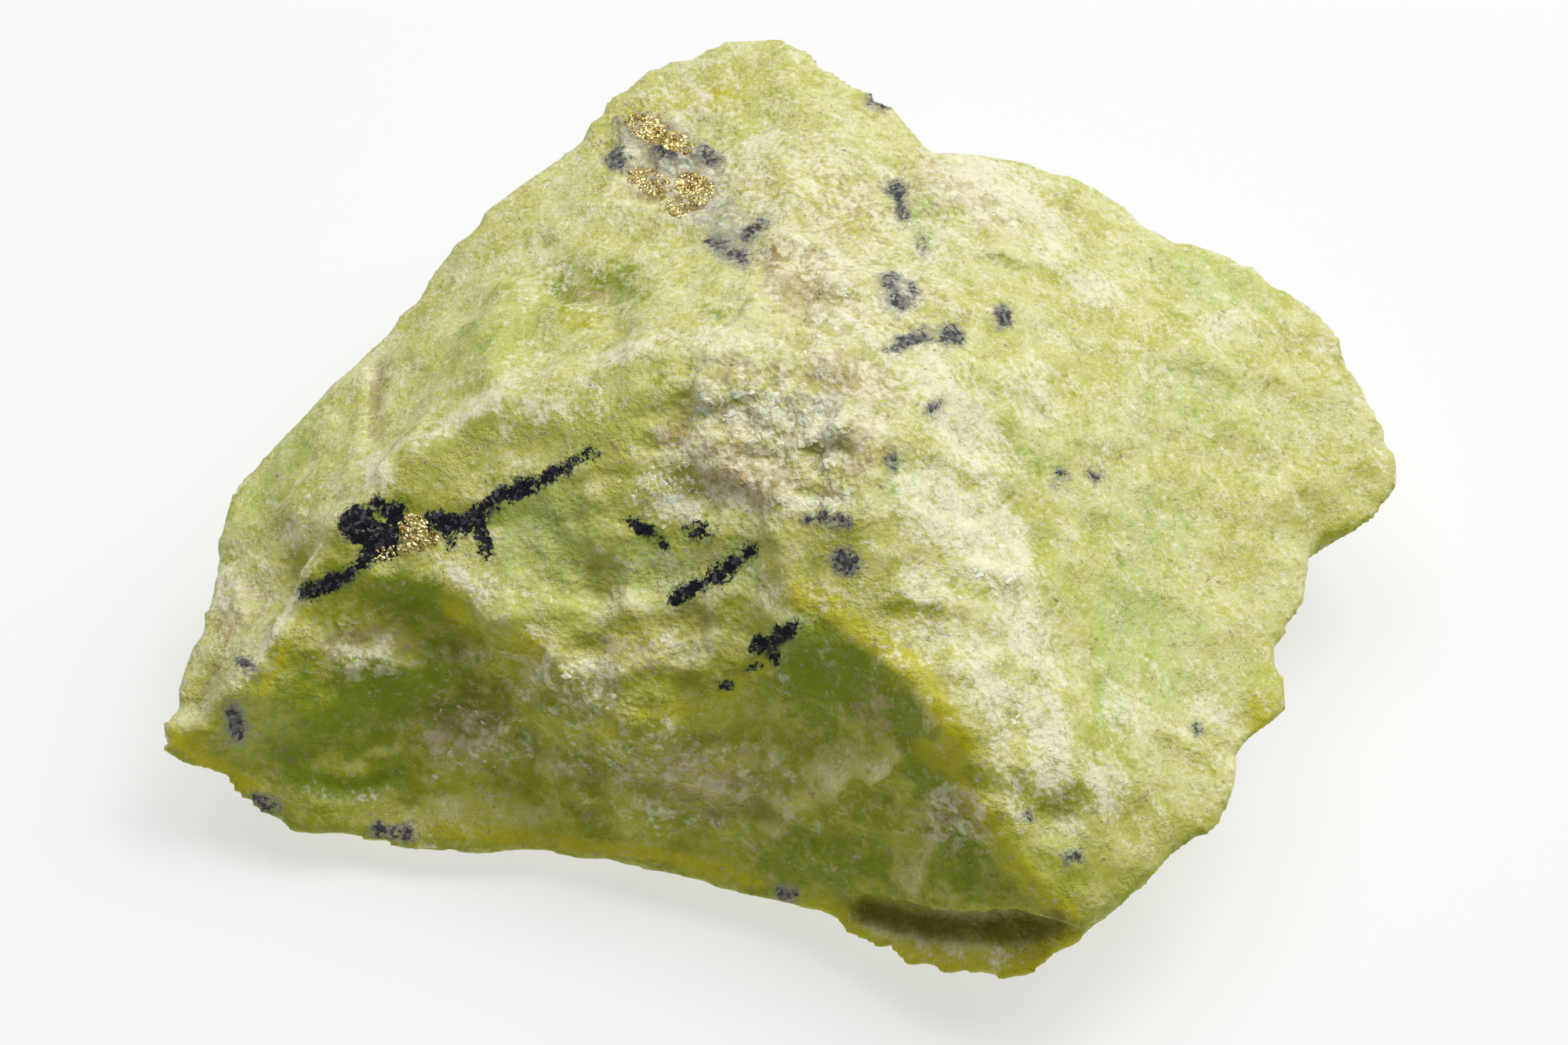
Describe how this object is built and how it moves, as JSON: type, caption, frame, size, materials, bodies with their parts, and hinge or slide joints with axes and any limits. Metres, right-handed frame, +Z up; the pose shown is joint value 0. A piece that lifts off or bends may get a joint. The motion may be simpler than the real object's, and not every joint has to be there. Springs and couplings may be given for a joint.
{
  "type": "serpentine rock",
  "caption": "Broken piece of waxy yellow-green serpentine with sharp crests, hollowed fracture faces, a thin rim and an undercut lip, resting on a small flat foot.",
  "frame": {"origin": "centre of the bounding box's base, in the plane of the flat foot", "axes": "+X along the stone's length, towards the thin rim at the right of the picture; +Y towards the back; +Z up, out of the foot"},
  "size_m": [0.0632, 0.051, 0.0224],
  "materials": {
    "stone": "waxy, satin"
  },
  "bodies": {
    "root": {"rock": "stone"}
  },
  "joints": []
}
